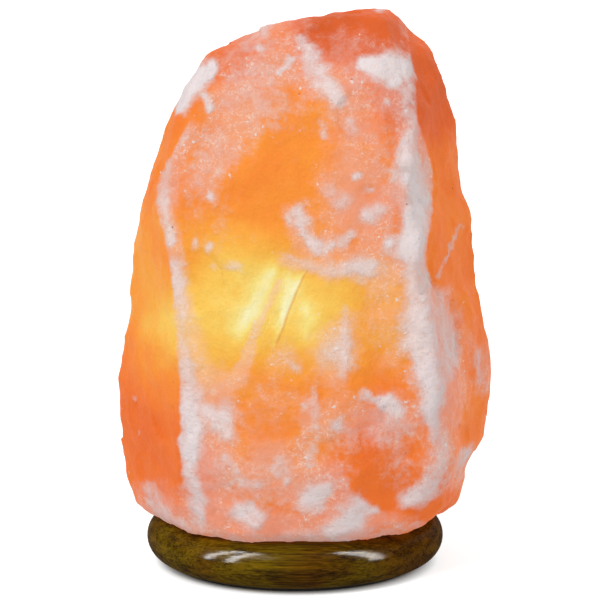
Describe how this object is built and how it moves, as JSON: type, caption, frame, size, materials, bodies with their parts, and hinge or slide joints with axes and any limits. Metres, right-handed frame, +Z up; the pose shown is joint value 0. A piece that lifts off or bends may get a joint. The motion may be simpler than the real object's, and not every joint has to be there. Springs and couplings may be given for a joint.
{
  "type": "salt crystal lamp",
  "caption": "Table lamp: a hewn block of rock salt on a turned wood base, lit by a small tubular bulb on a clip-in light unit inside its bore.",
  "frame": {"origin": "on the axis of the turned base, at the surface that the lamp stands on (the underside of the non-slip ring)", "axes": "+Z up along the base's axis and the bore; -Y towards the front that the picture shows; +X to the right in the picture; the cord groove leaves along +Y"},
  "size_m": [0.1482, 0.1233, 0.2225],
  "materials": {
    "rock_salt": "rough hewn, translucent, lit from inside",
    "lacquered_wood": "dark lacquer over hardwood",
    "foam_rubber": "matt",
    "nylon_plug": "moulded",
    "zinc_steel": "zinc plated",
    "plated_plate": "nickel plated, pressed",
    "spring_wire": "drawn spring steel",
    "black_phenolic": "moulded phenolic",
    "white_ceramic": "unglazed",
    "brass": "rolled sheet",
    "solder": "dull solder",
    "black_glass": "black glass",
    "plated_cap": "nickel-plated brass sheet",
    "bulb_glass": "clear, warm",
    "stem_glass": "clear",
    "lead_wire": "drawn wire",
    "filament": "glowing"
  },
  "bodies": {
    "stand": {"salt_crystal": "rock_salt", "wood_base": "lacquered_wood", "non_slip_ring": "foam_rubber", "screw_plugs": "nylon_plug", "screw_washers": "zinc_steel", "crystal_screws": "zinc_steel"},
    "light_unit": {"holder_plate": "plated_plate", "cord_nipple": "zinc_steel", "lower_nipple_nut": "zinc_steel", "upper_nipple_nut": "zinc_steel", "lampholder_cap": "black_phenolic", "lampholder_skirt": "black_phenolic", "contact_block": "white_ceramic", "screw_shell": "brass", "centre_terminal": "brass", "terminal_screws": "zinc_steel"},
    "wing_left": {"spring_wing_left": "spring_wire"},
    "wing_right": {"spring_wing_right": "spring_wire"},
    "tongue": {"contact_tongue": "brass"},
    "bulb_lift": {"bulb_contact": "solder"},
    "bulb": {"bulb_insulator": "black_glass", "bulb_cap": "plated_cap", "bulb_glass": "bulb_glass", "bulb_stem": "stem_glass", "bulb_leads": "lead_wire", "bulb_filament": "filament"}
  },
  "joints": [
    {"name": "light_unit_pull", "type": "slide", "parent": "stand", "child": "light_unit", "axis": [0, 0, -1], "range_m": [0, 0.135]},
    {"name": "wing_left_squeeze", "type": "hinge", "parent": "light_unit", "child": "wing_left", "pos_m": [-0.0175, 0, 0.0153], "axis": [0, 1, 0], "range_deg": [0, 10], "stiffness_Nm_per_rad": 0.6},
    {"name": "wing_right_squeeze", "type": "hinge", "parent": "light_unit", "child": "wing_right", "pos_m": [0.0175, 0, 0.0153], "axis": [0, -1, 0], "range_deg": [0, 10], "stiffness_Nm_per_rad": 0.6},
    {"name": "tongue_flex", "type": "hinge", "parent": "light_unit", "child": "tongue", "pos_m": [-0.0045, 0, 0.03055], "axis": [0, 1, 0], "range_deg": [0, 8], "stiffness_Nm_per_rad": 0.05},
    {"name": "bulb_advance", "type": "slide", "parent": "light_unit", "child": "bulb_lift", "axis": [0, 0, 1], "range_m": [0, 0.0113]},
    {"name": "bulb_turn", "type": "hinge", "parent": "bulb_lift", "child": "bulb", "pos_m": [0, 0, 0.034], "axis": [0, 0, 1], "range_deg": [0, 1440]}
  ],
  "couplings": [
    {"joint": "bulb_advance", "follows": "bulb_turn", "m_per_rad": 0.00044913}
  ]
}
